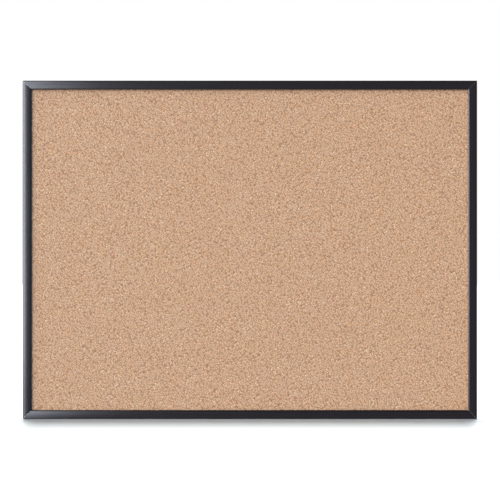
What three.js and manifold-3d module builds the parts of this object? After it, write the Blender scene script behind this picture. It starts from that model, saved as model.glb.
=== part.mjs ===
// A cork bulletin board in a mitred aluminium frame, hung on a wall by two sliding hangers.
// Millimetres. X runs along the board, Y points into the wall and Z points up.
// The origin lies on the wall, behind the middle of the board.
import * as THREE from "three";
import { mergeVertices } from "three/addons/utils/BufferGeometryUtils.js";
import Module from "manifold-3d";

// Overall sizes: a nominal 47 by 35 inch board.
const BOARD_WIDTH = 1193.8;
const BOARD_HEIGHT = 889.0;
const WALL_GAP = 3.0; // from the wall to the back of the rails, held by the bumpers

// Rail section. "in" is measured from the rail's outer face towards the middle of the board,
// and "front" from the rail's back towards the viewer.
const RAIL_FACE = 23.0; // width of the front face
const RAIL_WALL = 1.4; // wall of the extrusion
const CROWN_RADIUS = 70.0; // the front face is a shallow arc that falls towards the cork
const CROWN_TOP_IN = 6.0; // where that arc is highest
const OUTER_EDGE_RADIUS = 1.6;
const NOSE_CHAMFER_WIDTH = 2.4; // a sloping band where the face meets the nose
const NOSE_CHAMFER_DROP = 1.6;
const NOSE_EDGE_RADIUS = 0.6;
const RAIL_OVER_CORK = 7.8; // from the cork to the top of the crown
const CHANNEL_WIDTH = 11.4; // inside of the channel that runs along the rail's back
const CHANNEL_SLOT = 7.6; // the channel's open mouth
const MITRE_GAP = 0.3; // hairline between two rails

// Panel, from the wall side to the cork.
const BACKING_THICKNESS = 1.0;
const CORE_THICKNESS = 5.5;
const CORK_THICKNESS = 2.0;
const GLUE_LINE = 0.25;
const PANEL_SEAT_GAP = 0.3; // between the panel and the rail, behind it and in front of it
const PANEL_EDGE_GAP = 1.0; // between the panel's edge and the rail's outer wall

// Corner plates, which lie in the channels of two rails and clamp them together.
const PLATE_ARM = 62.0; // from the frame's outer face to the end of an arm
const PLATE_SIDE_GAP = 0.4;
const CLAMP_PLATE_THICKNESS = 1.6;
const BEARING_PLATE_THICKNESS = 1.0;
const PLATES_APART = 0.4;
const PLATE_GAP = 0.3; // from a plate to the channel wall that it presses on
const PLATE_END_RADIUS = 1.5;
const SCREW_FROM_CORNER = 38.0;
const SCREW_RADIUS = 2.0;
const SCREW_HOLE_GAP = 0.3;
const SCREW_HEAD_SIDE_GAP = 0.5; // from the head to the edge of the channel's slot
const SCREW_HEAD_HEIGHT = 2.0;
const SCREW_HEAD_EDGE = 0.5;
const SCREW_HEAD_LIFT = 0.7; // the head stands clear of its plate, because the tip does the work
const SCREW_TIP_GAP = 0.25;
const DRIVER_SLOT_WIDTH = 1.0;
const DRIVER_SLOT_DEPTH = 0.9;
const DRIVER_SLOT_TURN = Math.PI / 6; // how the driver left the slot

// Hangers, pressed from sheet steel, which slide along the channel of the top rail.
const HANGER_FROM_MIDDLE = 406.4; // two hangers 32 inches apart
const HANGER_SHEET = 1.5;
const HANGER_FOOT_LENGTH = 40.0;
const HANGER_FOOT_GAP = 0.4; // under the channel's lips and at its sides
const HANGER_TONGUE_WIDTH = 22.0;
const HANGER_TONGUE_GAP = 0.5; // from the tongue to the edge of the slot, and to the rail's back
const HANGER_BEND_RADIUS = 1.0; // inside the bend
const HANGER_RELIEF = 0.8; // the cut beside the tongue, which ends this far past the bend
const HANGER_LAP = 2.0; // how far the tongue is drawn into the foot
const HANGER_TAB_END_IN = 42.0;
const HANGER_TAB_CORNER = 5.0;
const KEYHOLE_HEAD_RADIUS = 4.5;
const KEYHOLE_SHANK_RADIUS = 2.4;
const KEYHOLE_HEAD_IN = 33.0;
const KEYHOLE_RISE = 10.0;

// Bumpers, pushed into the channels of the side rails by a barbed stem.
const BUMPER_RADIUS = 6.35;
const BUMPER_TOP_RADIUS = 4.6;
const BUMPER_SKIRT = 1.0;
const BUMPER_FROM_CORNER = 90.0;
const BUMPER_GAP = 0.3; // to the rail's back, the slot and the inside of the lips
const BUMPER_BARB_REACH = 0.9; // how far the barb reaches under a lip
const BUMPER_BARB_EDGE = 0.4;
const BUMPER_STEM_END_RADIUS = 2.6;
const BUMPER_STEM_END_GAP = 0.6; // from the end of the stem to the bottom of the channel

// What follows from those sizes, measured in and front on the rail section.
const screwHeadRadius = CHANNEL_SLOT / 2 - SCREW_HEAD_SIDE_GAP;
const channelDepth = CLAMP_PLATE_THICKNESS + PLATES_APART + BEARING_PLATE_THICKNESS + 2 * PLATE_GAP;
const channelLip = RAIL_WALL;
const channelIn = RAIL_WALL;
const channelEndIn = channelIn + CHANNEL_WIDTH;
const channelMiddleIn = channelIn + CHANNEL_WIDTH / 2;
const slotStartIn = channelMiddleIn - CHANNEL_SLOT / 2;
const slotEndIn = channelMiddleIn + CHANNEL_SLOT / 2;
const channelFront = channelLip + channelDepth;
const seatFront = channelFront + RAIL_WALL;
const backingFront = seatFront + PANEL_SEAT_GAP;
const coreFront = backingFront + BACKING_THICKNESS + GLUE_LINE;
const corkFront = coreFront + CORE_THICKNESS + GLUE_LINE;
const corkFace = corkFront + CORK_THICKNESS;
const noseFront = corkFace + PANEL_SEAT_GAP;
const crownFront = corkFace + RAIL_OVER_CORK;
const clampPlateFront = channelLip + PLATE_GAP;
const bearingPlateFront = channelFront - PLATE_GAP - BEARING_PLATE_THICKNESS;
const hangerFootBack = channelLip + HANGER_FOOT_GAP;
const hangerNeckIn = slotEndIn - HANGER_TONGUE_GAP - HANGER_SHEET;
const hangerFirstBendIn = hangerNeckIn - HANGER_BEND_RADIUS;

const black = new THREE.MeshStandardMaterial({ color: 0x2a292d, roughness: 0.38, metalness: 0.6 });
const cork = new THREE.MeshStandardMaterial({ color: 0xc9a486, roughness: 0.95, metalness: 0.0 });
const fibre = new THREE.MeshStandardMaterial({ color: 0x8a6b4a, roughness: 0.95, metalness: 0.0 });
const kraft = new THREE.MeshStandardMaterial({ color: 0xa5835d, roughness: 0.9, metalness: 0.0 });
const zinc = new THREE.MeshStandardMaterial({ color: 0xb9bcc0, roughness: 0.4, metalness: 1.0 });
const rubber = new THREE.MeshStandardMaterial({ color: 0x3a3a3a, roughness: 0.85, metalness: 0.0 });

const wasm = await Module();
wasm.setup();

// A closed geometry as a solid that can be cut and joined.
function solidOf(geometry) {
  const bare = geometry.clone();
  bare.deleteAttribute("normal");
  bare.deleteAttribute("uv");
  const merged = mergeVertices(bare, 1e-4);
  return new wasm.Manifold(
    new wasm.Mesh({
      numProp: 3,
      vertProperties: merged.attributes.position.array,
      triVerts: new Uint32Array(merged.index.array),
    }),
  );
}

// A solid as a geometry again.
function geometryOf(solid) {
  const mesh = solid.getMesh();
  const geometry = new THREE.BufferGeometry();
  geometry.setAttribute("position", new THREE.BufferAttribute(mesh.vertProperties, 3));
  geometry.setIndex(new THREE.BufferAttribute(mesh.triVerts, 1));
  geometry.computeVertexNormals();
  return geometry;
}

// A named piece, with a copy of its finish for its own.
function named(name, geometry, finish) {
  const mesh = new THREE.Mesh(geometry, finish.clone());
  mesh.name = name;
  return mesh;
}

// A shape drawn in (in, front) and extruded along a rail, stood in the place of the top rail:
// "in" then runs down, "front" runs to the viewer, and the extrusion is centred on X.
function alongTopRail(shape, length, curveSegments) {
  const geometry = new THREE.ExtrudeGeometry(shape, { depth: length, bevelEnabled: false, curveSegments });
  const toRail = new THREE.Matrix4().makeBasis(
    new THREE.Vector3(0, 0, -1),
    new THREE.Vector3(0, -1, 0),
    new THREE.Vector3(-1, 0, 0),
  );
  toRail.setPosition(length / 2, -WALL_GAP, 0);
  return geometry.applyMatrix4(toRail);
}

// A shape drawn in (along, in) and extruded from one front depth to another, in the same place.
function acrossTopRail(shape, fromFront, toFront, curveSegments) {
  const geometry = new THREE.ExtrudeGeometry(shape, {
    depth: toFront - fromFront,
    bevelEnabled: false,
    curveSegments,
  });
  const toRail = new THREE.Matrix4().makeBasis(
    new THREE.Vector3(1, 0, 0),
    new THREE.Vector3(0, 0, -1),
    new THREE.Vector3(0, 1, 0),
  );
  toRail.setPosition(0, -WALL_GAP - toFront, 0);
  return geometry.applyMatrix4(toRail);
}

// How far the crown stands forward at a distance in from the rail's outer face.
function crownAt(inwards) {
  const sideways = inwards - CROWN_TOP_IN;
  return crownFront - CROWN_RADIUS + Math.sqrt(CROWN_RADIUS ** 2 - sideways ** 2);
}

function crownAngle(inwards, radius) {
  return Math.acos((inwards - CROWN_TOP_IN) / radius);
}

// The extrusion's section: outer wall, crowned face, nose on the cork, panel seat and back channel.
function railSection() {
  const underside = CROWN_RADIUS - RAIL_WALL;
  const crownMiddle = crownFront - CROWN_RADIUS;
  const noseIn = RAIL_FACE - RAIL_WALL;
  const outer = OUTER_EDGE_RADIUS;
  const chamferIn = RAIL_FACE - NOSE_CHAMFER_WIDTH;
  const noseTop = crownAt(chamferIn) - NOSE_CHAMFER_DROP;
  const edge = NOSE_EDGE_RADIUS;
  const section = new THREE.Shape();
  section.moveTo(0, 0);
  section.lineTo(0, crownAt(0) - outer);
  section.quadraticCurveTo(0, crownAt(0), outer, crownAt(outer));
  section.absarc(
    CROWN_TOP_IN,
    crownMiddle,
    CROWN_RADIUS,
    crownAngle(outer, CROWN_RADIUS),
    crownAngle(chamferIn, CROWN_RADIUS),
    true,
  );
  section.lineTo(RAIL_FACE - edge, noseTop + (edge * NOSE_CHAMFER_DROP) / NOSE_CHAMFER_WIDTH);
  section.quadraticCurveTo(RAIL_FACE, noseTop, RAIL_FACE, noseTop - edge);
  section.lineTo(RAIL_FACE, noseFront);
  section.lineTo(noseIn, noseFront);
  section.absarc(
    CROWN_TOP_IN,
    crownMiddle,
    underside,
    crownAngle(noseIn, underside),
    crownAngle(RAIL_WALL, underside),
    false,
  );
  section.lineTo(RAIL_WALL, seatFront);
  section.lineTo(channelEndIn + RAIL_WALL, seatFront);
  section.lineTo(channelEndIn + RAIL_WALL, 0);
  section.lineTo(slotEndIn, 0);
  section.lineTo(slotEndIn, channelLip);
  section.lineTo(channelEndIn, channelLip);
  section.lineTo(channelEndIn, channelFront);
  section.lineTo(channelIn, channelFront);
  section.lineTo(channelIn, channelLip);
  section.lineTo(slotStartIn, channelLip);
  section.lineTo(slotStartIn, 0);
  section.closePath();
  return section;
}

// A rail as the top rail, its outer face on Z = 0, with both ends mitred at 45 degrees.
function railGeometry(length) {
  const geometry = alongTopRail(railSection(), length, 6);
  const place = geometry.attributes.position;
  const backOff = MITRE_GAP / Math.SQRT2;
  for (let i = 0; i < place.count; i++) {
    const inwards = -place.getZ(i);
    const end = Math.sign(place.getX(i)) * (length / 2 - inwards - backOff);
    place.setX(i, end);
  }
  geometry.computeVertexNormals();
  return geometry;
}

function box(width, height, fromFront, toFront) {
  const geometry = new THREE.BoxGeometry(width, toFront - fromFront, height);
  return geometry.translate(0, -WALL_GAP - (fromFront + toFront) / 2, 0);
}

// An L in (along, in) whose outer corner is the frame's top left corner.
function cornerPlateShape() {
  const start = channelIn + PLATE_SIDE_GAP;
  const inside = channelEndIn - PLATE_SIDE_GAP;
  const round = PLATE_END_RADIUS;
  const shape = new THREE.Shape();
  shape.moveTo(start, start);
  shape.lineTo(PLATE_ARM - round, start);
  shape.quadraticCurveTo(PLATE_ARM, start, PLATE_ARM, start + round);
  shape.lineTo(PLATE_ARM, inside - round);
  shape.quadraticCurveTo(PLATE_ARM, inside, PLATE_ARM - round, inside);
  shape.lineTo(inside, inside);
  shape.lineTo(inside, PLATE_ARM - round);
  shape.quadraticCurveTo(inside, PLATE_ARM, inside - round, PLATE_ARM);
  shape.lineTo(start + round, PLATE_ARM);
  shape.quadraticCurveTo(start, PLATE_ARM, start, PLATE_ARM - round);
  shape.closePath();
  return shape;
}

// Where the two screws of a corner stand, as (along, in).
const screwPlaces = [
  [SCREW_FROM_CORNER, channelMiddleIn],
  [channelMiddleIn, SCREW_FROM_CORNER],
];

// The plate that the screws are threaded through. It is pulled back against the channel's lips.
function clampPlateGeometry() {
  const shape = cornerPlateShape();
  for (const [along, inwards] of screwPlaces) {
    const hole = new THREE.Path();
    hole.absarc(along, inwards, SCREW_RADIUS + SCREW_HOLE_GAP, 0, 2 * Math.PI, true);
    shape.holes.push(hole);
  }
  return acrossTopRail(shape, clampPlateFront, clampPlateFront + CLAMP_PLATE_THICKNESS, 8);
}

// The plain plate that the screws' tips press on.
function bearingPlateGeometry() {
  return acrossTopRail(cornerPlateShape(), bearingPlateFront, bearingPlateFront + BEARING_PLATE_THICKNESS, 4);
}

// A slotted screw on the Y axis, its head towards the wall and its tip towards the bearing plate.
function screwGeometry() {
  const tip = bearingPlateFront - SCREW_TIP_GAP;
  const headUnder = clampPlateFront - SCREW_HEAD_LIFT;
  const headTop = headUnder - SCREW_HEAD_HEIGHT;
  const profile = [
    [0, tip],
    [SCREW_RADIUS, tip],
    [SCREW_RADIUS, headUnder],
    [screwHeadRadius, headUnder],
    [screwHeadRadius, headTop + SCREW_HEAD_EDGE],
    [screwHeadRadius - SCREW_HEAD_EDGE, headTop],
    [0, headTop],
  ].map(([radius, front]) => new THREE.Vector2(radius, -WALL_GAP - front));
  const turned = solidOf(new THREE.LatheGeometry(profile, 24));
  const slot = new THREE.BoxGeometry(3 * screwHeadRadius, 2 * DRIVER_SLOT_DEPTH, DRIVER_SLOT_WIDTH);
  slot.rotateY(DRIVER_SLOT_TURN);
  slot.translate(0, -headTop - WALL_GAP, 0);
  return geometryOf(turned.subtract(solidOf(slot)));
}

// The hanger's foot: a plate under both lips of the channel, open in the middle for the tongue.
function hangerFootShape() {
  const start = channelIn + HANGER_FOOT_GAP;
  const end = channelEndIn - HANGER_FOOT_GAP;
  const half = HANGER_FOOT_LENGTH / 2;
  const relief = HANGER_TONGUE_WIDTH / 2 + HANGER_RELIEF;
  const window = hangerFirstBendIn - HANGER_RELIEF;
  const shape = new THREE.Shape();
  shape.moveTo(-half, start);
  shape.lineTo(half, start);
  shape.lineTo(half, end);
  shape.lineTo(relief, end);
  shape.lineTo(relief, window);
  shape.lineTo(-relief, window);
  shape.lineTo(-relief, end);
  shape.lineTo(-half, end);
  shape.closePath();
  return shape;
}

// The tongue's bent section in (in, front): out of the foot, back through the slot, then down the board.
function hangerTongueSection() {
  const sheet = HANGER_SHEET;
  const inside = HANGER_BEND_RADIUS;
  const outside = inside + sheet;
  const footBack = hangerFootBack;
  const neckIn = hangerNeckIn;
  const tabFront = -HANGER_TONGUE_GAP;
  const start = hangerFirstBendIn - HANGER_RELIEF - HANGER_LAP;
  const firstIn = hangerFirstBendIn;
  const firstFront = footBack - inside;
  const secondIn = neckIn + sheet + inside;
  const secondFront = tabFront + inside;
  const section = new THREE.Shape();
  section.moveTo(start, footBack);
  section.lineTo(firstIn, footBack);
  section.absarc(firstIn, firstFront, inside, Math.PI / 2, 0, true);
  section.lineTo(neckIn, secondFront);
  section.absarc(secondIn, secondFront, outside, Math.PI, 1.5 * Math.PI, false);
  section.lineTo(HANGER_TAB_END_IN, tabFront - sheet);
  section.lineTo(HANGER_TAB_END_IN, tabFront);
  section.lineTo(secondIn, tabFront);
  section.absarc(secondIn, secondFront, inside, 1.5 * Math.PI, Math.PI, true);
  section.lineTo(neckIn + sheet, firstFront);
  section.absarc(firstIn, firstFront, outside, 0, Math.PI / 2, false);
  section.lineTo(start, footBack + sheet);
  section.closePath();
  return section;
}

// The tongue seen from the wall, with its rounded end and its keyhole.
function hangerTongueOutline() {
  const half = HANGER_TONGUE_WIDTH / 2;
  const end = HANGER_TAB_END_IN;
  const corner = HANGER_TAB_CORNER;
  const outline = new THREE.Shape();
  outline.moveTo(-half, 0);
  outline.lineTo(half, 0);
  outline.lineTo(half, end - corner);
  outline.absarc(half - corner, end - corner, corner, 0, Math.PI / 2, false);
  outline.absarc(corner - half, end - corner, corner, Math.PI / 2, Math.PI, false);
  outline.closePath();

  const shank = KEYHOLE_SHANK_RADIUS;
  const meet = Math.acos(shank / KEYHOLE_HEAD_RADIUS);
  const keyhole = new THREE.Path();
  keyhole.moveTo(-shank, KEYHOLE_HEAD_IN - KEYHOLE_HEAD_RADIUS * Math.sin(meet));
  keyhole.lineTo(-shank, KEYHOLE_HEAD_IN - KEYHOLE_RISE);
  keyhole.absarc(0, KEYHOLE_HEAD_IN - KEYHOLE_RISE, shank, Math.PI, 2 * Math.PI, false);
  keyhole.lineTo(shank, KEYHOLE_HEAD_IN - KEYHOLE_HEAD_RADIUS * Math.sin(meet));
  keyhole.absarc(0, KEYHOLE_HEAD_IN, KEYHOLE_HEAD_RADIUS, -meet, meet - Math.PI, false);
  outline.holes.push(keyhole);
  return outline;
}

function hangerGeometry() {
  const footFront = hangerFootBack + HANGER_SHEET;
  const foot = solidOf(acrossTopRail(hangerFootShape(), hangerFootBack, footFront, 4));
  const strip = solidOf(alongTopRail(hangerTongueSection(), 2 * HANGER_TONGUE_WIDTH, 5));
  const outline = solidOf(acrossTopRail(hangerTongueOutline(), -WALL_GAP, seatFront, 8));
  return geometryOf(foot.add(strip.intersect(outline)));
}

// A rubber bumper on the Y axis: its barb under the lips, its stem in the slot and its foot on the wall.
function bumperGeometry() {
  const stem = CHANNEL_SLOT / 2 - BUMPER_GAP;
  const barb = CHANNEL_SLOT / 2 + BUMPER_BARB_REACH;
  const barbBack = channelLip + BUMPER_GAP;
  const stemEnd = channelFront - BUMPER_STEM_END_GAP;
  const profile = [
    [0, stemEnd],
    [BUMPER_STEM_END_RADIUS, stemEnd],
    [barb, barbBack + BUMPER_BARB_EDGE],
    [barb, barbBack],
    [stem, barbBack],
    [stem, -BUMPER_GAP],
    [BUMPER_RADIUS, -BUMPER_GAP],
    [BUMPER_RADIUS, -BUMPER_GAP - BUMPER_SKIRT],
    [BUMPER_TOP_RADIUS, -WALL_GAP],
    [0, -WALL_GAP],
  ].map(([radius, front]) => new THREE.Vector2(radius, -WALL_GAP - front));
  return new THREE.LatheGeometry(profile, 32);
}

const board = new THREE.Group();

// Each rail is the top rail turned about Y: [name, quarter turns, length, distance from the middle].
const rails = [
  ["top", 0, BOARD_WIDTH, BOARD_HEIGHT / 2],
  ["right", 1, BOARD_HEIGHT, BOARD_WIDTH / 2],
  ["bottom", 2, BOARD_WIDTH, BOARD_HEIGHT / 2],
  ["left", 3, BOARD_HEIGHT, BOARD_WIDTH / 2],
];
for (const [side, quarterTurns, length, reach] of rails) {
  const turned = new THREE.Group();
  turned.rotation.y = (quarterTurns * Math.PI) / 2;
  const rail = named(`${side}_rail`, railGeometry(length), black);
  rail.position.z = reach;
  turned.add(rail);
  board.add(turned);
}

// The panel: backing sheet, fibreboard core and cork sheet, one behind the other.
const panelEdgeIn = RAIL_WALL + PANEL_EDGE_GAP;
const panelWidth = BOARD_WIDTH - 2 * panelEdgeIn;
const panelHeight = BOARD_HEIGHT - 2 * panelEdgeIn;
const layers = [
  ["backing_sheet", backingFront, BACKING_THICKNESS, kraft],
  ["fibreboard_core", coreFront, CORE_THICKNESS, fibre],
  ["cork_sheet", corkFront, CORK_THICKNESS, cork],
];
for (const [name, front, thickness, material] of layers) {
  board.add(named(name, box(panelWidth, panelHeight, front, front + thickness), material));
}

// Each corner is the top left corner turned about Y: [name, side in X, side in Z, quarter turns].
const corners = [
  ["top_left", -1, 1, 0],
  ["top_right", 1, 1, 1],
  ["bottom_right", 1, -1, 2],
  ["bottom_left", -1, -1, 3],
];
for (const [where, sideX, sideZ, quarterTurns] of corners) {
  const corner = new THREE.Group();
  corner.position.set((sideX * BOARD_WIDTH) / 2, 0, (sideZ * BOARD_HEIGHT) / 2);
  corner.rotation.y = (quarterTurns * Math.PI) / 2;
  corner.add(named(`clamp_plate_${where}`, clampPlateGeometry(), zinc));
  corner.add(named(`bearing_plate_${where}`, bearingPlateGeometry(), zinc));
  screwPlaces.forEach(([along, inwards], i) => {
    const screw = named(`corner_screw_${where}_${i + 1}`, screwGeometry(), zinc);
    screw.position.set(along, 0, -inwards);
    corner.add(screw);
  });
  board.add(corner);
}

for (const [side, sideX] of [["left", -1], ["right", 1]]) {
  const hanger = named(`hanger_${side}`, hangerGeometry(), zinc);
  hanger.position.set(sideX * HANGER_FROM_MIDDLE, 0, BOARD_HEIGHT / 2);
  board.add(hanger);
}

for (const [where, sideX, sideZ] of corners) {
  const bumper = named(`bumper_${where}`, bumperGeometry(), rubber);
  bumper.position.set(
    sideX * (BOARD_WIDTH / 2 - channelMiddleIn),
    0,
    sideZ * (BOARD_HEIGHT / 2 - BUMPER_FROM_CORNER),
  );
  board.add(bumper);
}

export default board;
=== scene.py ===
import math

import bmesh
import bpy
from mathutils import Matrix, Vector, noise


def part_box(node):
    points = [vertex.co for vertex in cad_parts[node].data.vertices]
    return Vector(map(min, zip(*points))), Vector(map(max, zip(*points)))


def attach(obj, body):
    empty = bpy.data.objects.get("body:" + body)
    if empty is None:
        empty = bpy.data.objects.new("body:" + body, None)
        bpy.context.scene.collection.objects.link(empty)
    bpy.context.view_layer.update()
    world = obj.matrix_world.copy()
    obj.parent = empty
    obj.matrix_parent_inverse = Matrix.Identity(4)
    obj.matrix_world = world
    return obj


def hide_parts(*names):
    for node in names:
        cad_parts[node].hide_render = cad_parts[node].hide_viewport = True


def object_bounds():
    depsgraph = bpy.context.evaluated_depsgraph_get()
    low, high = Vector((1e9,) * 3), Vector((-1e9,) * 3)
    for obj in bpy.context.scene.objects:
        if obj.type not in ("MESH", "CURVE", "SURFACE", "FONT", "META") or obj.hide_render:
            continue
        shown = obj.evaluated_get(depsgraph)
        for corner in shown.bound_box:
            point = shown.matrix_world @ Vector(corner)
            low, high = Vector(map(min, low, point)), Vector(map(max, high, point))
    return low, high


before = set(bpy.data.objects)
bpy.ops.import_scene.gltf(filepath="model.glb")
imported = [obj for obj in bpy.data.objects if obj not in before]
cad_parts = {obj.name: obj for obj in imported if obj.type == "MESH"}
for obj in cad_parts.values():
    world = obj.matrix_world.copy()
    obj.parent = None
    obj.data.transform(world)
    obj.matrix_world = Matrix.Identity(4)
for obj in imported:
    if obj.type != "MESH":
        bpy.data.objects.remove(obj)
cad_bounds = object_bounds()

# ---------------------------------------------------------------------------------------------
# Camera. It stands square on to the board, level with its middle, with a portrait lens far
# enough away that the frame's outer sides stay out of sight.
LENS_MM = 85.0
SENSOR_MM = 36.0
VIEW_WIDTH = 1.3126  # at the frame's front, in metres
CAMERA_ASIDE = 0.0003  # from the board's middle
CAMERA_LOWERED = 0.0005

frame_front = cad_bounds[0][1]
camera = bpy.data.objects.new("camera", bpy.data.cameras.new("camera"))
camera.data.lens = LENS_MM
camera.data.sensor_width = SENSOR_MM
camera.data.clip_end = 200.0
camera.location = (CAMERA_ASIDE, frame_front - VIEW_WIDTH * LENS_MM / SENSOR_MM, -CAMERA_LOWERED)
camera.rotation_euler = (math.pi / 2, 0.0, 0.0)
bpy.context.scene.collection.objects.link(camera)
bpy.context.scene.camera = camera
bpy.context.scene.view_settings.view_transform = "Standard"

# ---------------------------------------------------------------------------------------------
# Studio. The board stands on a pale floor in a white room. A big soft light comes from the upper
# left, and a tall softbox at the left is there for the frame's gloss. Three strips far overhead
# light only the floor, so that the bottom rail's shadow is short.
FLOOR_SIZE = 24.0
FLOOR_GREY = "b9c8d7"  # cool, against the warm light that the cork throws on it
ROOM_WHITE = 1.0
ROOM_LEFT = 0.54  # what the room gives to the object, as gloss and as fill
ROOM_RIGHT = 0.24
ROOM_OVERHEAD = 0.3  # the ceiling's share of that
CEILING_STARTS = 0.3  # how far up a direction points, from 0 for level to 1 for straight up
CEILING_IS_FULL = 0.7
KEY_STRENGTH = 3.82
KEY_SPREAD = math.radians(90.0)
KEY_FROM = Vector((-0.62, -0.58, 0.78))
SOFTBOX_RADIANCE = 30.8  # watts for each square metre
SOFTBOX_TINT = "f0fffb"
SOFTBOX_FRONT = 1.2
SOFTBOX_WIDTH = 0.9
SOFTBOX_INNER_EDGE = -0.82
SOFTBOX_TOP = 0.95
SOFTBOX_FADE = -0.45  # below this it gives less light
SOFTBOX_BOTTOM = -1.1
SOFTBOX_FADED = 0.4
STRIP_HEIGHT = 90.0
STRIP_TINT = "fff2e2"  # warm, so that the cool floor looks neutral where they light it
STRIP_WIDTH = 1.5
STRIP_LENGTH = 24.4
REAR_STRIP_POWER = 114000.0
REAR_STRIP_BACK = 16.6
REAR_STRIP_ASIDE = 5.5
FRONT_STRIP_POWER = 34700.0
FRONT_STRIP_BACK = -15.2
BACK_LIGHT_STRENGTH = 1.6  # on the back, and on the top and left sides
BACK_LIGHT_SPREAD = math.radians(35.0)
BACK_LIGHT_FROM = Vector((-0.7, 1.0, 0.7))


def linear(hex_colour):
    """Turn an sRGB hex colour into linear RGBA."""
    channels = [int(hex_colour[i : i + 2], 16) / 255 for i in (0, 2, 4)]
    straight = [c / 12.92 if c <= 0.04045 else ((c + 0.055) / 1.055) ** 2.4 for c in channels]
    return (*straight, 1.0)


def add_node(tree, kind, inputs=None, stops=None, **settings):
    """Add a node. An input is a value, or the socket it is linked to. Stops are a ramp's colours."""
    node = tree.nodes.new(kind)
    for name, value in settings.items():
        setattr(node, name, value)
    for name, value in (inputs or {}).items():
        if isinstance(value, bpy.types.NodeSocket):
            tree.links.new(value, node.inputs[name])
        else:
            node.inputs[name].default_value = value
    for i, (position, hex_colour) in enumerate(stops or ()):
        elements = node.color_ramp.elements
        element = elements[i] if i < len(elements) else elements.new(position)
        element.position = position
        element.color = linear(hex_colour)
    return node


def new_material(name):
    """Start a material with no nodes at all; finish_material gives it its output."""
    material = bpy.data.materials.new(name)
    material.use_nodes = True
    material.node_tree.nodes.clear()
    return material, material.node_tree


def finish_material(tree, shader):
    """Join the shader to the material's output."""
    add_node(tree, "ShaderNodeOutputMaterial", {"Surface": shader.outputs["BSDF"]})


def add_light(name, kind, place, aim, power, tint="ffffff", **settings):
    """Hang a light at a place, turned to what it is aimed at."""
    light = bpy.data.objects.new(name, bpy.data.lights.new(name, kind))
    light.data.energy = power
    light.data.color = linear(tint)[:3]
    for setting, value in settings.items():
        setattr(light.data, setting, value)
    light.location = place
    light.rotation_euler = (Vector(aim) - Vector(place)).to_track_quat("-Z", "Y").to_euler()
    bpy.context.scene.collection.objects.link(light)
    return light


world = bpy.data.worlds.new("white_room")
bpy.context.scene.world = world
world.use_nodes = True
world.node_tree.nodes.clear()
ray = add_node(world.node_tree, "ShaderNodeLightPath")
direction = add_node(world.node_tree, "ShaderNodeTexCoord")
sideways = add_node(world.node_tree, "ShaderNodeSeparateXYZ", {"Vector": direction.outputs["Generated"]})
room_grey = add_node(
    world.node_tree,
    "ShaderNodeMapRange",
    {"Value": sideways.outputs["X"], "From Min": -1.0, "To Min": ROOM_LEFT, "To Max": ROOM_RIGHT},
)
ceiling = add_node(
    world.node_tree,
    "ShaderNodeMapRange",
    {
        "Value": sideways.outputs["Z"],
        "From Min": CEILING_STARTS,
        "From Max": CEILING_IS_FULL,
        "To Min": 1.0,
        "To Max": ROOM_OVERHEAD,
    },
)
room_light = add_node(
    world.node_tree,
    "ShaderNodeMath",
    {0: room_grey.outputs["Result"], 1: ceiling.outputs["Result"]},
    operation="MULTIPLY",
)
brightness = add_node(
    world.node_tree,
    "ShaderNodeMapRange",
    {
        "Value": ray.outputs["Is Camera Ray"],
        "To Min": room_light.outputs["Value"],
        "To Max": ROOM_WHITE,
    },
)
room = add_node(
    world.node_tree,
    "ShaderNodeBackground",
    {"Color": (1.0, 1.0, 1.0, 1.0), "Strength": brightness.outputs["Result"]},
)
add_node(world.node_tree, "ShaderNodeOutputWorld", {"Surface": room.outputs["Background"]})

floor_paint, tree = new_material("matt_floor_paint")
finish_material(tree, add_node(tree, "ShaderNodeBsdfDiffuse", {"Color": linear(FLOOR_GREY)}))
floor_mesh = bpy.data.meshes.new("floor")
reach = FLOOR_SIZE / 2
floor_z = cad_bounds[0][2]
floor_mesh.from_pydata(
    [
        (-reach, -reach, floor_z),
        (reach, -reach, floor_z),
        (reach, reach, floor_z),
        (-reach, reach, floor_z),
    ],
    [],
    [(0, 1, 2, 3)],
)
floor_mesh.materials.append(floor_paint)
floor = bpy.data.objects.new("floor", floor_mesh)
bpy.context.scene.collection.objects.link(floor)
floor.visible_diffuse = False
floor.visible_glossy = False

origin = (0.0, 0.0, 0.0)
key = add_light("key", "SUN", KEY_FROM, origin, KEY_STRENGTH, angle=KEY_SPREAD)
key.visible_glossy = False
back_light = add_light(
    "back_light", "SUN", BACK_LIGHT_FROM, origin, BACK_LIGHT_STRENGTH, angle=BACK_LIGHT_SPREAD
)
studio_lights = [key, back_light]
softbox_x = SOFTBOX_INNER_EDGE - SOFTBOX_WIDTH / 2
for name, top, bottom, share in (
    ("softbox", SOFTBOX_TOP, SOFTBOX_FADE, 1.0),
    ("softbox_lower_end", SOFTBOX_FADE, SOFTBOX_BOTTOM, SOFTBOX_FADED),
):
    softbox = add_light(
        name,
        "AREA",
        (softbox_x, -SOFTBOX_FRONT, (top + bottom) / 2),
        (softbox_x, 0, (top + bottom) / 2),
        SOFTBOX_RADIANCE * share * SOFTBOX_WIDTH * (top - bottom),
        SOFTBOX_TINT,
        shape="RECTANGLE",
        size=SOFTBOX_WIDTH,
        size_y=top - bottom,
    )
    softbox.visible_diffuse = False
    studio_lights.append(softbox)

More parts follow.
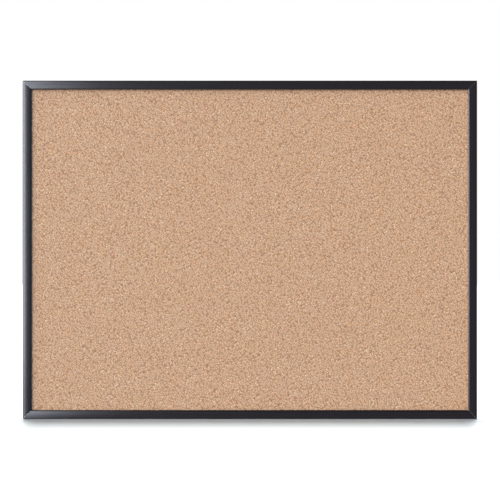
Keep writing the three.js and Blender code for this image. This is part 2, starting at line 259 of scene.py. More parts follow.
only_floor = bpy.data.collections.new("lit_by_strips")
only_floor.objects.link(floor)
for name, aside, back, power in (
    ("rear_left_strip", -REAR_STRIP_ASIDE, REAR_STRIP_BACK, REAR_STRIP_POWER),
    ("rear_right_strip", REAR_STRIP_ASIDE, REAR_STRIP_BACK, REAR_STRIP_POWER),
    ("front_strip", 0.0, FRONT_STRIP_BACK, FRONT_STRIP_POWER),
):
    strip = add_light(
        name,
        "AREA",
        (aside, back, STRIP_HEIGHT),
        (aside, back, 0.0),
        power,
        STRIP_TINT,
        shape="RECTANGLE",
        size=STRIP_WIDTH,
        size_y=STRIP_LENGTH,
    )
    strip.visible_glossy = False
    strip.light_linking.receiver_collection = only_floor

not_floor = bpy.data.collections.new("not_lit_by_studio")
not_floor.objects.link(floor)
not_floor.collection_objects[0].light_linking.link_state = "EXCLUDE"
for light in studio_lights:
    light.light_linking.receiver_collection = not_floor

# ---------------------------------------------------------------------------------------------
# Rails. Four lengths of one aluminium extrusion, satin black anodised and then mitred, so that
# each saw cut shows bare metal. Their back channels hold the corner plates, hangers and bumpers.
# The section's sizes are in millimetres: "in" from a rail's outer face, "front" from its back.
MM = 0.001
WALL_GAP = 3.0
RAIL_FACE = 23.0
RAIL_WALL = 1.4
CROWN_RADIUS = 70.0
CROWN_TOP_IN = 6.0
CROWN_FRONT = 23.5
CROWN_STEPS = 16
OUTER_EDGE_RADIUS = 2.4
CROWN_STARTS = 1.3  # this many of those radii in
NOSE_CHAMFER_WIDTH = 2.4
NOSE_CHAMFER_DROP = 1.6
NOSE_CHAMFER_BLEND = 2.5  # radius between the crown and the chamfer
NOSE_EDGE_RADIUS = 0.6
NOSE_FRONT = 16.0
SEAT_FRONT = 6.4
CHANNEL_WIDTH = 11.4
CHANNEL_FRONT = 5.0
CHANNEL_SLOT = 7.6
FILLET = 0.3  # on the extrusion's small corners
FILLET_STEPS = 3
EDGE_STEPS = 8
MITRE_GAP = 0.3
CUT_CHAMFER = 0.2  # bare, as deburring leaves it on a cut edge
ANODISED_TINTS = [(0.3, "403d43"), (0.5, "464349"), (0.7, "4b484f")]
ANODISED_ROUGHNESS = 0.25
ROUGHNESS_VARIES = 0.04
NOISE_LOW = 0.3  # a noise texture lies mostly between these two
NOISE_HIGH = 0.7
DIE_LINE_SPACING = 0.0006  # the die's scratches, drawn coarser than the real ones so that they show
DIE_LINE_LENGTHS = 3.0  # to each metre of rail
DIE_LINE_DEPTH = 0.00004
ETCH_GRAIN = 0.0009  # the matt etch, coarser than the real one too
ETCH_DEPTH = 0.00006
BATH_CLOUD = 1 / 9  # metres from one duller patch of the anodising to the next
SAW_CUT_TINTS = [(0.0, "c9cbcd"), (1.0, "e2e3e4")]
SAW_CUT_ROUGHNESS = 0.35
SAW_MARK_SPACING = 0.0025133  # drawn coarser than the real ones so that they show
SAW_MARK_DEPTH = 0.00005
WAVE_REPEAT = math.pi / 10  # the wave texture's, at a scale of 1

board_width = cad_bounds[1][0] - cad_bounds[0][0]
board_height = cad_bounds[1][2] - cad_bounds[0][2]


def crown_at(inwards):
    """How far the crowned face stands forward, at a distance in from the rail's outer face."""
    return CROWN_FRONT - CROWN_RADIUS + math.sqrt(CROWN_RADIUS**2 - (inwards - CROWN_TOP_IN) ** 2)


def under_crown_at(inwards):
    """The same for the underside of the crowned wall."""
    radius = CROWN_RADIUS - RAIL_WALL
    return CROWN_FRONT - CROWN_RADIUS + math.sqrt(radius**2 - (inwards - CROWN_TOP_IN) ** 2)


def rounded(corners):
    """Round each corner (x, y, radius, steps) of a closed outline with an arc."""
    points = []
    for i, (x, y, radius, steps) in enumerate(corners):
        corner = Vector((x, y))
        if radius == 0:
            points.append(corner)
            continue
        before = (Vector(corners[i - 1][:2]) - corner).normalized()
        after = (Vector(corners[(i + 1) % len(corners)][:2]) - corner).normalized()
        half_turn = before.angle(after) / 2
        centre = corner + (before + after).normalized() * radius / math.sin(half_turn)
        start = corner + before * radius / math.tan(half_turn) - centre
        end = corner + after * radius / math.tan(half_turn) - centre
        for step in range(steps + 1):
            part = step / steps
            sweep = start.angle(end)
            arc = (start * math.sin((1 - part) * sweep) + end * math.sin(part * sweep)) / math.sin(sweep)
            points.append(centre + arc)
    return points


def rail_section():
    """The extrusion's outline as (inwards, front), in millimetres."""
    nose_in = RAIL_FACE - RAIL_WALL
    channel_end = RAIL_WALL + CHANNEL_WIDTH
    slot_start = RAIL_WALL + (CHANNEL_WIDTH - CHANNEL_SLOT) / 2
    slot_end = slot_start + CHANNEL_SLOT
    crown_start = CROWN_STARTS * OUTER_EDGE_RADIUS
    chamfer_in = RAIL_FACE - NOSE_CHAMFER_WIDTH
    nose_top = crown_at(chamfer_in) - NOSE_CHAMFER_DROP
    corners = [(0, 0, FILLET, FILLET_STEPS)]
    corners.append((0, crown_at(0), OUTER_EDGE_RADIUS, EDGE_STEPS))
    for step in range(CROWN_STEPS):
        inwards = crown_start + (chamfer_in - crown_start) * step / CROWN_STEPS
        corners.append((inwards, crown_at(inwards), 0, 0))
    corners.append((chamfer_in, crown_at(chamfer_in), NOSE_CHAMFER_BLEND, EDGE_STEPS))
    corners.append((RAIL_FACE, nose_top, NOSE_EDGE_RADIUS, EDGE_STEPS))
    corners.append((RAIL_FACE, NOSE_FRONT, FILLET, FILLET_STEPS))
    corners.append((nose_in, NOSE_FRONT, FILLET, FILLET_STEPS))
    for step in range(CROWN_STEPS + 1):
        inwards = nose_in + (RAIL_WALL - nose_in) * step / CROWN_STEPS
        corners.append((inwards, under_crown_at(inwards), 0, 0))
    square_corners = [
        (RAIL_WALL, SEAT_FRONT),
        (channel_end + RAIL_WALL, SEAT_FRONT),
        (channel_end + RAIL_WALL, 0),
        (slot_end, 0),
        (slot_end, RAIL_WALL),
        (channel_end, RAIL_WALL),
        (channel_end, CHANNEL_FRONT),
        (RAIL_WALL, CHANNEL_FRONT),
        (RAIL_WALL, RAIL_WALL),
        (slot_start, RAIL_WALL),
        (slot_start, 0),
    ]
    corners.extend((x, y, FILLET, FILLET_STEPS) for x, y in square_corners)
    return rounded(corners)


def shrunk(outline, distance):
    """The same clockwise outline, drawn in by a small distance, or up to twice that at a corner."""
    points = []
    for i, point in enumerate(outline):
        before = (point - outline[i - 1]).normalized()
        after = (outline[(i + 1) % len(outline)] - point).normalized()
        inward = Vector((before.y + after.y, -before.x - after.x)).normalized()
        points.append(point + inward * distance / max(0.5, inward.dot(Vector((before.y, -before.x)))))
    return points


def new_object(name, mesh, materials, smooth_angle=30.0):
    """Link a mesh as an object with its materials, smooth apart from its sharp edges."""
    for material in materials:
        mesh.materials.append(material)
    mesh.shade_smooth()
    mesh.set_sharp_from_angle(angle=math.radians(smooth_angle))
    piece = bpy.data.objects.new(name, mesh)
    bpy.context.scene.collection.objects.link(piece)
    return piece


def anodised_aluminium():
    """Black anodised aluminium: a dark satin metal with faint die lines along its length."""
    material, tree = new_material("black_anodised_aluminium")
    place = add_node(tree, "ShaderNodeAttribute", attribute_name="along_and_around")
    lines_at = add_node(
        tree,
        "ShaderNodeVectorMath",
        {0: place.outputs["Vector"], 1: (DIE_LINE_LENGTHS, 1 / DIE_LINE_SPACING, 0.0)},
        operation="MULTIPLY",
    )
    die_lines = add_node(
        tree,
        "ShaderNodeTexNoise",
        {"Vector": lines_at.outputs["Vector"], "Scale": 1.0, "Detail": 3.0, "Roughness": 0.6},
    )
    body = add_node(tree, "ShaderNodeTexCoord")
    etch = add_node(
        tree,
        "ShaderNodeTexNoise",
        {"Vector": body.outputs["Object"], "Scale": 1 / ETCH_GRAIN, "Detail": 2.0},
    )
    clouds = add_node(
        tree,
        "ShaderNodeTexNoise",
        {"Vector": body.outputs["Object"], "Scale": 1 / BATH_CLOUD, "Detail": 4.0},
    )
    tint = add_node(
        tree,
        "ShaderNodeValToRGB",
        {"Fac": die_lines.outputs["Fac"]},
        ANODISED_TINTS,
    )
    line_roughness = add_node(
        tree,
        "ShaderNodeMapRange",
        {
            "Value": die_lines.outputs["Fac"],
            "From Min": NOISE_LOW,
            "From Max": NOISE_HIGH,
            "To Min": ANODISED_ROUGHNESS - ROUGHNESS_VARIES,
            "To Max": ANODISED_ROUGHNESS + ROUGHNESS_VARIES,
        },
    )
    roughness = add_node(
        tree,
        "ShaderNodeMath",
        {0: clouds.outputs["Fac"], 1: ROUGHNESS_VARIES, 2: line_roughness.outputs["Result"]},
        operation="MULTIPLY_ADD",
    )
    lines_bump = add_node(
        tree,
        "ShaderNodeBump",
        {"Height": die_lines.outputs["Fac"], "Strength": 0.25, "Distance": DIE_LINE_DEPTH},
    )
    bump = add_node(
        tree,
        "ShaderNodeBump",
        {
            "Height": etch.outputs["Fac"],
            "Strength": 0.2,
            "Distance": ETCH_DEPTH,
            "Normal": lines_bump.outputs["Normal"],
        },
    )
    shader = add_node(
        tree,
        "ShaderNodeBsdfPrincipled",
        {
            "Base Color": tint.outputs["Color"],
            "Metallic": 1.0,
            "Roughness": roughness.outputs["Value"],
            "Normal": bump.outputs["Normal"],
        },
    )
    finish_material(tree, shader)
    return material


def saw_cut_aluminium():
    """Bare aluminium as the mitre saw leaves it, bright, with the blade's lines along the cut."""
    material, tree = new_material("saw_cut_aluminium")
    body = add_node(tree, "ShaderNodeTexCoord")
    marks = add_node(
        tree,
        "ShaderNodeTexWave",
        {"Vector": body.outputs["Object"], "Scale": WAVE_REPEAT / SAW_MARK_SPACING, "Distortion": 3.0},
        bands_direction="Y",
    )
    tint = add_node(
        tree,
        "ShaderNodeValToRGB",
        {"Fac": marks.outputs["Fac"]},
        SAW_CUT_TINTS,
    )
    bump = add_node(
        tree,
        "ShaderNodeBump",
        {"Height": marks.outputs["Fac"], "Strength": 0.3, "Distance": SAW_MARK_DEPTH},
    )
    shader = add_node(
        tree,
        "ShaderNodeBsdfPrincipled",
        {
            "Base Color": tint.outputs["Color"],
            "Metallic": 1.0,
            "Roughness": SAW_CUT_ROUGHNESS,
            "Normal": bump.outputs["Normal"],
        },
    )
    finish_material(tree, shader)
    return material


def rail_mesh(name, length):
    """A rail along X with its outer face up at Z = 0 and both ends mitred."""
    outline = rail_section()
    cut_outline = shrunk(outline, CUT_CHAMFER)
    around = [0.0]
    for i in range(1, len(outline)):
        around.append(around[-1] + (outline[i] - outline[i - 1]).length)
    mesh = bmesh.new()
    place = mesh.verts.layers.float_vector.new("along_and_around")
    rings = []
    for side, points, set_back in (
        (-1, cut_outline, 0.0),
        (-1, outline, CUT_CHAMFER),
        (1, outline, CUT_CHAMFER),
        (1, cut_outline, 0.0),
    ):
        ring = []
        for (inwards, front), distance in zip(points, around):
            along = side * (length / 2 - inwards - MITRE_GAP / math.sqrt(2) - set_back * math.sqrt(2))
            vert = mesh.verts.new(Vector((along, -WALL_GAP - front, -inwards)) * MM)
            vert[place] = Vector((along * MM, distance * MM, 0.0))
            ring.append(vert)
        rings.append(ring)
    count = len(outline)
    for first, second in zip(rings, rings[1:]):
        bare = first is rings[0] or second is rings[-1]
        for i in range(count):
            j = (i + 1) % count
            face = mesh.faces.new((first[i], first[j], second[j], second[i]))
            face.material_index = int(bare)
    for ring in (rings[0], rings[-1]):
        mesh.faces.new(ring).material_index = 1
    bmesh.ops.recalc_face_normals(mesh, faces=mesh.faces)
    data = bpy.data.meshes.new(name)
    mesh.to_mesh(data)
    mesh.free()
    return data


rail_materials = [anodised_aluminium(), saw_cut_aluminium()]
for side, quarter_turns, length, reach in (
    ("top", 0, board_width, board_height / 2),
    ("right", 1, board_height, board_width / 2),
    ("bottom", 2, board_width, board_height / 2),
    ("left", 3, board_height, board_width / 2),
):
    mesh = rail_mesh(f"{side}_rail_extrusion", length / MM)
    turn = Matrix.Rotation(quarter_turns * math.pi / 2, 4, "Y")
    mesh.transform(turn @ Matrix.Translation((0.0, 0.0, reach)))
    rail = new_object(f"{side}_rail_extrusion", mesh, rail_materials)
    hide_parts(f"{side}_rail")
    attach(rail, "board")

# ---------------------------------------------------------------------------------------------
# Cork sheet. Granules of ground cork bark, two or three millimetres across, pressed with a little
# binder into a block, sliced, sanded flat and glued to the core. It is matt and slightly uneven.
CORK_TANS = [(0.1, "542c17"), (0.26, "804522"), (0.5, "c9a282"), (0.74, "fdd6b7"), (0.9, "ffeeda")]
CORK_GRANULE = 0.0050  # drawn coarser than the real ones so that they show
CORK_CRUMB = 0.0011  # the small pieces within a granule
CORK_RAGGED = 0.0009  # how far the outlines wander, at most
CORK_RAGGED_EVERY = CORK_CRUMB / 0.7  # from one bend of an outline to the next, roughly
CORK_GRANULES_TURNED = math.radians(31.0)  # so that they lie in no rows along the frame
CORK_UNEVENLY_SPACED = 0.72  # from 0 for a square grid to 1
CORK_CENTRE_TONE = 0.567  # of a granule, before its crumbs are added
CORK_DARKER_OUTWARDS = 0.36  # for each granule's width out from its centre
CORK_CRUMBS_VARY = 0.21
CORK_HUE_VARIES = 0.01  # either way, from crumb to crumb
CORK_RICHNESS_VARIES = 0.07  # either way, from granule to granule
CORK_BARK = "713f28"
CORK_BARK_SHARE = 0.1  # of the granules have some bark in them
CORK_BARKIEST_SHARE = 0.02  # and these have the most
CORK_PALE = "ffeed0"
CORK_PALE_SHARE = 0.07
CORK_PALEST_SHARE = 0.01
CORK_FLECK_STRENGTH = 0.6  # the most of the bark's colour, or of the pale one, that is mixed in
CORK_FLECK_FADES = 0.25  # this share of a granule's width from its centre
CORK_FLECK_ENDS = 0.5
CORK_SEAM = "8f6748"
CORK_SEAM_STRENGTH = 0.25
CORK_HALF_SEAM = 0.07  # of a crumb's width
CORK_CRUMB_DOMED = 0.3  # beside how much the crumbs' heights differ
CORK_GRAIN_DEPTH = 0.0001
CORK_ROUGHNESS = (0.82, 0.98)
CORK_UNEVEN = 0.00006
CORK_STEP = 0.006  # of the sheet's grid
CORK_SWELL = 3  # in those steps
CORK_RIPPLE_SHARE = 0.5  # beside the swell
CORK_RIPPLE_SLICE = 9.0  # elsewhere in the noise, so that the ripple doesn't follow the swell


def agglomerated_cork():
    """Fine agglomerated cork: granules of many tans, bits of bark and pale ones, a dry surface."""
    material, tree = new_material("agglomerated_cork")
    body = add_node(tree, "ShaderNodeTexCoord")
    warp = add_node(
        tree,
        "ShaderNodeTexNoise",
        {"Vector": body.outputs["Object"], "Scale": 1 / CORK_RAGGED_EVERY, "Detail": 0.0},
    )
    warped = add_node(
        tree,
        "ShaderNodeVectorMath",
        {0: warp.outputs["Color"], 1: [CORK_RAGGED] * 3, 2: body.outputs["Object"]},
        operation="MULTIPLY_ADD",
    )
    sheet_plane = add_node(
        tree,
        "ShaderNodeVectorRotate",
        {"Vector": warped.outputs["Vector"], "Rotation": (math.pi / 2, 0.0, CORK_GRANULES_TURNED)},
        rotation_type="EULER_XYZ",
    )
    granules = add_node(
        tree,
        "ShaderNodeTexVoronoi",
        {
            "Vector": sheet_plane.outputs["Vector"],
            "Scale": 1 / CORK_GRANULE,
            "Randomness": CORK_UNEVENLY_SPACED,
        },
        voronoi_dimensions="2D",
    )
    granule_random = add_node(tree, "ShaderNodeSeparateColor", {"Color": granules.outputs["Color"]})
    crumbs = add_node(
        tree,
        "ShaderNodeTexVoronoi",
        {"Vector": warped.outputs["Vector"], "Scale": 1 / CORK_CRUMB},
    )
    seams = add_node(
        tree,
        "ShaderNodeTexVoronoi",
        {"Vector": warped.outputs["Vector"], "Scale": 1 / CORK_CRUMB},
        feature="DISTANCE_TO_EDGE",
    )
    crumb_random = add_node(tree, "ShaderNodeSeparateColor", {"Color": crumbs.outputs["Color"]})
    darker_outwards = add_node(
        tree,
        "ShaderNodeMath",
        {0: granules.outputs["Distance"], 1: -CORK_DARKER_OUTWARDS, 2: CORK_CENTRE_TONE},
        operation="MULTIPLY_ADD",
    )
    tone = add_node(
        tree,
        "ShaderNodeMath",
        {
            0: crumb_random.outputs["Red"],
            1: CORK_CRUMBS_VARY,
            2: darker_outwards.outputs["Value"],
        },
        operation="MULTIPLY_ADD",
    )
    tan = add_node(
        tree,
        "ShaderNodeValToRGB",
        {"Fac": tone.outputs["Value"]},
        CORK_TANS,
    )
    hue = add_node(
        tree,
        "ShaderNodeMapRange",
        {
            "Value": crumb_random.outputs["Blue"],
            "To Min": 0.5 - CORK_HUE_VARIES,
            "To Max": 0.5 + CORK_HUE_VARIES,
        },
    )
    richness = add_node(
        tree,
        "ShaderNodeMapRange",
        {
            "Value": granule_random.outputs["Blue"],
            "To Min": 1 - CORK_RICHNESS_VARIES,
            "To Max": 1 + CORK_RICHNESS_VARIES,
        },
    )
    varied_tan = add_node(
        tree,
        "ShaderNodeHueSaturation",
        {
            "Hue": hue.outputs["Result"],
            "Saturation": richness.outputs["Result"],
            "Color": tan.outputs["Color"],
        },
    )
    in_granule = add_node(
        tree,
        "ShaderNodeMapRange",
        {
            "Value": granules.outputs["Distance"],
            "From Min": CORK_FLECK_ENDS,
            "From Max": CORK_FLECK_FADES,
        },
    )
    is_bark = add_node(
        tree,
        "ShaderNodeMapRange",
        {
            "Value": granule_random.outputs["Green"],
            "From Min": CORK_BARK_SHARE,
            "From Max": CORK_BARKIEST_SHARE,
            "To Max": CORK_FLECK_STRENGTH,
        },
    )
    bark = add_node(
        tree,
        "ShaderNodeMath",
        {0: is_bark.outputs["Result"], 1: in_granule.outputs["Result"]},
        operation="MULTIPLY",
    )
    with_bark = add_node(
        tree,
        "ShaderNodeMix",
        {0: bark.outputs["Value"], 6: varied_tan.outputs["Color"], 7: linear(CORK_BARK)},
        data_type="RGBA",
    )
    is_pale = add_node(
        tree,
        "ShaderNodeMapRange",
        {
            "Value": granule_random.outputs["Green"],
            "From Min": 1 - CORK_PALE_SHARE,
            "From Max": 1 - CORK_PALEST_SHARE,
            "To Max": CORK_FLECK_STRENGTH,
        },
    )
    pale = add_node(
        tree,
        "ShaderNodeMath",
        {0: is_pale.outputs["Result"], 1: in_granule.outputs["Result"]},
        operation="MULTIPLY",
    )
    with_pale = add_node(
        tree,
        "ShaderNodeMix",
        {0: pale.outputs["Value"], 6: with_bark.outputs[2], 7: linear(CORK_PALE)},
        data_type="RGBA",
    )
    seam = add_node(
        tree,
        "ShaderNodeMapRange",
        {
            "Value": seams.outputs["Distance"],
            "From Min": 0.0,
            "From Max": CORK_HALF_SEAM,
            "To Min": CORK_SEAM_STRENGTH,
            "To Max": 0.0,
        },
    )
    colour = add_node(
        tree,
        "ShaderNodeMix",
        {0: seam.outputs["Result"], 6: with_pale.outputs[2], 7: linear(CORK_SEAM)},
        data_type="RGBA",
    )
    crumb_height = add_node(
        tree,
        "ShaderNodeMath",
        {
            0: seams.outputs["Distance"],
            1: CORK_CRUMB_DOMED,
            2: crumb_random.outputs["Blue"],
        },
        operation="MULTIPLY_ADD",
    )
    bump = add_node(
        tree,
        "ShaderNodeBump",
        {"Height": crumb_height.outputs["Value"], "Strength": 0.35, "Distance": CORK_GRAIN_DEPTH},
    )
    roughness = add_node(
        tree,
        "ShaderNodeMapRange",
        {
            "Value": crumb_random.outputs["Green"],
            "To Min": CORK_ROUGHNESS[0],
            "To Max": CORK_ROUGHNESS[1],
        },
    )
    shader = add_node(
        tree,
        "ShaderNodeBsdfPrincipled",
        {
            "Base Color": colour.outputs[2],
            "IOR": 1.4,
            "Roughness": roughness.outputs["Result"],
            "Normal": bump.outputs["Normal"],
        },
    )
    finish_material(tree, shader)
    return material


def sheet_mesh(name, low, high, step, unevenness):
    """A closed sheet whose front, towards -Y, is a fine grid that is slightly uneven."""
    columns = round((high[0] - low[0]) / step)
    rows = round((high[2] - low[2]) / step)
    mesh = bmesh.new()
    front = []
    for row in range(rows + 1):
        z = low[2] + (high[2] - low[2]) * row / rows
        line = []
        for column in range(columns + 1):
            x = low[0] + (high[0] - low[0]) * column / columns
            inside = 0 < row < rows and 0 < column < columns
            swell = noise.noise(Vector((x, 0.0, z)) / (CORK_SWELL * step))
            ripple = noise.noise(Vector((x, CORK_RIPPLE_SLICE, z)) / step)
            rise = swell + CORK_RIPPLE_SHARE * ripple
            line.append(mesh.verts.new((x, low[1] + unevenness * rise * inside, z)))
        front.append(line)
    for lower, upper in zip(front, front[1:]):
        for i in range(columns):
            mesh.faces.new((lower[i], lower[i + 1], upper[i + 1], upper[i]))
    rim = front[0] + [line[-1] for line in front[1:]]
    rim += front[-1][-2::-1] + [line[0] for line in front[-2:0:-1]]
    back = [mesh.verts.new((vert.co.x, high[1], vert.co.z)) for vert in rim]
    for i in range(len(rim)):
        j = (i + 1) % len(rim)
        mesh.faces.new((rim[i], rim[j], back[j], back[i]))
    mesh.faces.new(back)
    bmesh.ops.recalc_face_normals(mesh, faces=mesh.faces)
    data = bpy.data.meshes.new(name)
    mesh.to_mesh(data)
    mesh.free()
    return data


cork_low, cork_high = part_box("cork_sheet")
cork = new_object(
    "cork_surface",
    sheet_mesh("cork_surface", cork_low, cork_high, CORK_STEP, CORK_UNEVEN),
    [agglomerated_cork()],
)
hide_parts("cork_sheet")
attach(cork, "board")

# ---------------------------------------------------------------------------------------------
# Fibreboard core. Soft board felted from wood fibre, which the pins go into; it is closed in by
# the cork, the backing and the rails.
FIBRE_LENGTH = 0.004
FIBRE_DEPTH = 0.0004
FIBREBOARD_TINTS = [(0.3, "6f5236"), (0.5, "8a6b4a"), (0.7, "b0926c")]
FIBREBOARD_ROUGHNESS = 0.95


def felted_fibreboard():
    """Wood fibreboard: brown, matt, with short pale fibres lying every way."""
    material, tree = new_material("felted_fibreboard")
    body = add_node(tree, "ShaderNodeTexCoord")
    fibres = add_node(
        tree,
        "ShaderNodeTexNoise",
        {"Vector": body.outputs["Object"], "Scale": 1 / FIBRE_LENGTH, "Detail": 6.0, "Distortion": 2.5},
    )
    tint = add_node(
        tree,
        "ShaderNodeValToRGB",
        {"Fac": fibres.outputs["Fac"]},
        FIBREBOARD_TINTS,
    )
    bump = add_node(
        tree,
        "ShaderNodeBump",
        {"Height": fibres.outputs["Fac"], "Strength": 0.6, "Distance": FIBRE_DEPTH},
    )
    shader = add_node(
        tree,
        "ShaderNodeBsdfPrincipled",
        {
            "Base Color": tint.outputs["Color"],
            "Roughness": FIBREBOARD_ROUGHNESS,
            "Normal": bump.outputs["Normal"],
        },
    )
    finish_material(tree, shader)
    return material


def refinish(node, material):
    """Give a carried-over piece its real finish."""
    mesh = bpy.data.objects[node].data
    mesh.materials.clear()
    mesh.materials.append(material)


refinish("fibreboard_core", felted_fibreboard())

# ---------------------------------------------------------------------------------------------
# Backing sheet. Thin brown kraft board glued over the back of the core, so that the panel doesn't
# curl. It shows felt marks, longer fibres and small dark shives.
KRAFT_TINTS = [(0.3, "95744f"), (0.5, "a5835d"), (0.7, "b5936a")]
KRAFT_ROUGHNESS = (0.78, 0.95)
KRAFT_FIBRE_WIDTH = 0.0009  # several fibres together, so that they show
KRAFT_FIBRE_LENGTH = 0.006
KRAFT_FIBRE_DEPTH = 0.00015
KRAFT_FELT_MARK = 0.05  # drawn coarser than the real ones so that they show
KRAFT_FELT_SHARE = 0.25  # of the sheet's mottle; the rest is its fibres
KRAFT_SHIVE_SPACING = 0.007
KRAFT_NO_SHIVE = 0.6  # of those places are left empty
KRAFT_SHIVE_SIZE = 0.12  # the biggest one's radius, as a share of the spacing
KRAFT_SHIVE_STRENGTH = 0.6
KRAFT_SHIVE_BROWN = "5d432c"


def kraft_board():
    """Unbleached kraft board: a dry brown surface with fibres along the machine direction."""
    material, tree = new_material("kraft_board")
    body = add_node(tree, "ShaderNodeTexCoord")
    along = add_node(
        tree,
        "ShaderNodeVectorMath",
        {
            0: body.outputs["Object"],
            1: (1 / KRAFT_FIBRE_LENGTH, 1 / KRAFT_FIBRE_WIDTH, 1 / KRAFT_FIBRE_WIDTH),
        },
        operation="MULTIPLY",
    )
    fibres = add_node(
        tree,
        "ShaderNodeTexNoise",
        {"Vector": along.outputs["Vector"], "Scale": 1.0, "Detail": 4.0, "Distortion": 0.4},
    )
    felt = add_node(
        tree,
        "ShaderNodeTexNoise",
        {"Vector": body.outputs["Object"], "Scale": 1 / KRAFT_FELT_MARK, "Detail": 5.0},
    )
    shives = add_node(
        tree,
        "ShaderNodeTexVoronoi",
        {"Vector": body.outputs["Object"], "Scale": 1 / KRAFT_SHIVE_SPACING},
    )
    tone = add_node(
        tree,
        "ShaderNodeMix",
        {0: KRAFT_FELT_SHARE, 2: fibres.outputs["Fac"], 3: felt.outputs["Fac"]},
        data_type="FLOAT",
    )
    tint = add_node(
        tree,
        "ShaderNodeValToRGB",
        {"Fac": tone.outputs[0]},
        KRAFT_TINTS,
    )
    shive_random = add_node(tree, "ShaderNodeSeparateColor", {"Color": shives.outputs["Color"]})
    shive_size = add_node(
        tree,
        "ShaderNodeMapRange",
        {
            "Value": shive_random.outputs["Red"],
            "From Min": KRAFT_NO_SHIVE,
            "To Min": 0.0,
            "To Max": KRAFT_SHIVE_SIZE,
        },
    )
    shive = add_node(
        tree,
        "ShaderNodeMapRange",
        {
            "Value": shives.outputs["Distance"],
            "From Min": 0.0,
            "From Max": shive_size.outputs["Result"],
            "To Min": KRAFT_SHIVE_STRENGTH,
            "To Max": 0.0,
        },
    )
    colour = add_node(
        tree,
        "ShaderNodeMix",
        {0: shive.outputs["Result"], 6: tint.outputs["Color"], 7: linear(KRAFT_SHIVE_BROWN)},
        data_type="RGBA",
    )
    bump = add_node(
        tree,
        "ShaderNodeBump",
        {"Height": fibres.outputs["Fac"], "Strength": 0.35, "Distance": KRAFT_FIBRE_DEPTH},
    )
    roughness = add_node(
        tree,
        "ShaderNodeMapRange",
        {
            "Value": fibres.outputs["Fac"],
            "To Min": KRAFT_ROUGHNESS[0],
            "To Max": KRAFT_ROUGHNESS[1],
        },
    )
    shader = add_node(
        tree,
        "ShaderNodeBsdfPrincipled",
        {
            "Base Color": colour.outputs[2],
            "Roughness": roughness.outputs["Result"],
            "Normal": bump.outputs["Normal"],
        },
    )
    finish_material(tree, shader)
    return material


refinish("backing_sheet", kraft_board())

# ---------------------------------------------------------------------------------------------
# Corner plates and screws. At each corner two L-shaped steel plates lie in the channels, and two
# slotted machine screws, threaded through one, push on the other. All are zinc plated.
DEBURRED = 0.00015
SCREW_DEBURRED = 0.00025
DEBURRED_FROM = math.radians(35.0)  # edges that turn by less are left as they are
ROLLING_LINE = 0.0009  # drawn coarser than the real ones so that they show
ROLLING_LINE_LENGTH = 0.04
ROLLING_LINE_DEPTH = 0.00005
ZINC_CLOUD = 0.004
ZINC_TINTS = [(0.3, "a9aeb6"), (0.5, "bcbfc4"), (0.72, "cfcdc4")]
ZINC_ROUGHNESS = (0.28, 0.45)


def zinc_plated_steel():
    """Bright zinc on cold-rolled steel: grey, satin, faintly blue, with cloudy patches."""
    material, tree = new_material("zinc_plated_steel")
    body = add_node(tree, "ShaderNodeTexCoord")
    clouds = add_node(
        tree,
        "ShaderNodeTexNoise",
        {"Vector": body.outputs["Object"], "Scale": 1 / ZINC_CLOUD, "Detail": 4.0},
    )
    rolled = add_node(
        tree,
        "ShaderNodeVectorMath",
        {
            0: body.outputs["Object"],
            1: (1 / ROLLING_LINE, 1 / ROLLING_LINE, 1 / ROLLING_LINE_LENGTH),
        },
        operation="MULTIPLY",
    )
    lines = add_node(
        tree,
        "ShaderNodeTexNoise",
        {"Vector": rolled.outputs["Vector"], "Scale": 1.0, "Detail": 3.0},
    )
    tint = add_node(
        tree,
        "ShaderNodeValToRGB",
        {"Fac": clouds.outputs["Fac"]},
        ZINC_TINTS,
    )
    roughness = add_node(
        tree,
        "ShaderNodeMapRange",
        {
            "Value": clouds.outputs["Fac"],
            "From Min": NOISE_LOW,
            "From Max": NOISE_HIGH,
            "To Min": ZINC_ROUGHNESS[0],
            "To Max": ZINC_ROUGHNESS[1],
        },
    )
    bump = add_node(
        tree,
        "ShaderNodeBump",
        {"Height": lines.outputs["Fac"], "Strength": 0.25, "Distance": ROLLING_LINE_DEPTH},
    )
    shader = add_node(
        tree,
        "ShaderNodeBsdfPrincipled",
        {
            "Base Color": tint.outputs["Color"],
            "Metallic": 1.0,
            "Roughness": roughness.outputs["Result"],
            "Normal": bump.outputs["Normal"],
        },
    )
    finish_material(tree, shader)
    return material


def deburred(node, radius, material, body="board"):
    """Stand in for a CAD piece with the same shape, its sharp edges broken by a small radius."""
    mesh = bmesh.new()
    mesh.from_mesh(bpy.data.objects[node].data)
    bmesh.ops.remove_doubles(mesh, verts=mesh.verts, dist=1e-6)
    bmesh.ops.dissolve_limit(mesh, angle_limit=math.radians(1.0), verts=mesh.verts, edges=mesh.edges)
    closed_edges = [edge for edge in mesh.edges if edge.is_manifold]
    sharp = [edge for edge in closed_edges if edge.calc_face_angle() > DEBURRED_FROM]
    bmesh.ops.bevel(mesh, geom=sharp, offset=radius, segments=2, affect="EDGES", clamp_overlap=True)
    data = bpy.data.meshes.new(f"{node}_deburred")
    mesh.to_mesh(data)
    mesh.free()
    data.materials.clear()
    piece = new_object(f"{node}_deburred", data, [material])
    # Each vertex takes its big faces' direction, so that flat faces look flat beside a round edge.
    normals = [Vector() for _ in data.vertices]
    for face in data.polygons:
        for index in face.vertices:
            normals[index] += face.normal * face.area
    data.normals_split_custom_set_from_vertices([normal.normalized() for normal in normals])
    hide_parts(node)
    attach(piece, body)
    return piece


zinc = zinc_plated_steel()
corners = ("top_left", "top_right", "bottom_right", "bottom_left")
for corner in corners:
    deburred(f"clamp_plate_{corner}", DEBURRED, zinc)
    deburred(f"bearing_plate_{corner}", DEBURRED, zinc)
    for number in (1, 2):
        deburred(f"corner_screw_{corner}_{number}", SCREW_DEBURRED, zinc)

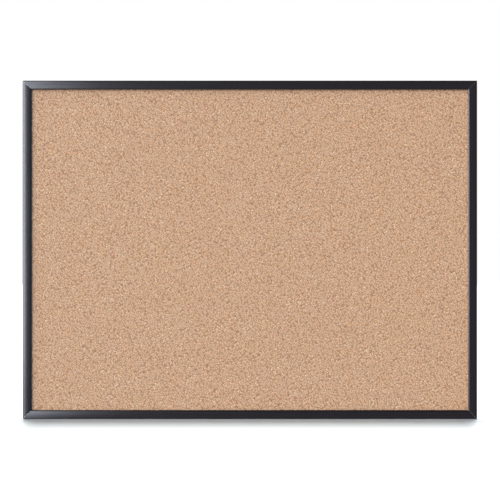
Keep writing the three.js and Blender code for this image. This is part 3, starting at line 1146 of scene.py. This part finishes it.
# ---------------------------------------------------------------------------------------------
# Hangers. Each is blanked and bent from zinc-plated sheet: a foot that slides in the top rail's
# channel, and a tongue that comes out through the slot and hangs behind the panel with a keyhole.
for side in ("left", "right"):
    deburred(f"hanger_{side}", DEBURRED, zinc, f"{side}_hanger")

# ---------------------------------------------------------------------------------------------
# Bumpers. Moulded rubber feet whose barbed stems are pushed into the side rails' channels. They
# hold the frame off the wall.
BUMPER_ROUNDED = 0.0004
RUBBER_TINTS = [(0.35, "262627"), (0.6, "303031"), (0.75, "454443")]
RUBBER_ROUGHNESS = (0.6, 0.85)
MOULD_GRAIN = 0.0007  # drawn coarser than the real one so that it shows
MOULD_GRAIN_DEPTH = 0.00008
DUST_PATCH = 1 / 220  # in metres


def moulded_rubber():
    """Black moulded rubber: dull, finely pitted by the mould, greyer where it is dusty."""
    material, tree = new_material("moulded_rubber")
    body = add_node(tree, "ShaderNodeTexCoord")
    grain = add_node(
        tree,
        "ShaderNodeTexNoise",
        {"Vector": body.outputs["Object"], "Scale": 1 / MOULD_GRAIN, "Detail": 2.0},
    )
    dust = add_node(
        tree,
        "ShaderNodeTexNoise",
        {"Vector": body.outputs["Object"], "Scale": 1 / DUST_PATCH, "Detail": 5.0},
    )
    tint = add_node(
        tree,
        "ShaderNodeValToRGB",
        {"Fac": dust.outputs["Fac"]},
        RUBBER_TINTS,
    )
    bump = add_node(
        tree,
        "ShaderNodeBump",
        {"Height": grain.outputs["Fac"], "Strength": 0.4, "Distance": MOULD_GRAIN_DEPTH},
    )
    roughness = add_node(
        tree,
        "ShaderNodeMapRange",
        {
            "Value": dust.outputs["Fac"],
            "To Min": RUBBER_ROUGHNESS[0],
            "To Max": RUBBER_ROUGHNESS[1],
        },
    )
    shader = add_node(
        tree,
        "ShaderNodeBsdfPrincipled",
        {
            "Base Color": tint.outputs["Color"],
            "IOR": 1.52,
            "Roughness": roughness.outputs["Result"],
            "Normal": bump.outputs["Normal"],
        },
    )
    finish_material(tree, shader)
    return material


rubber = moulded_rubber()
for corner in corners:
    deburred(f"bumper_{corner}", BUMPER_ROUNDED, rubber)
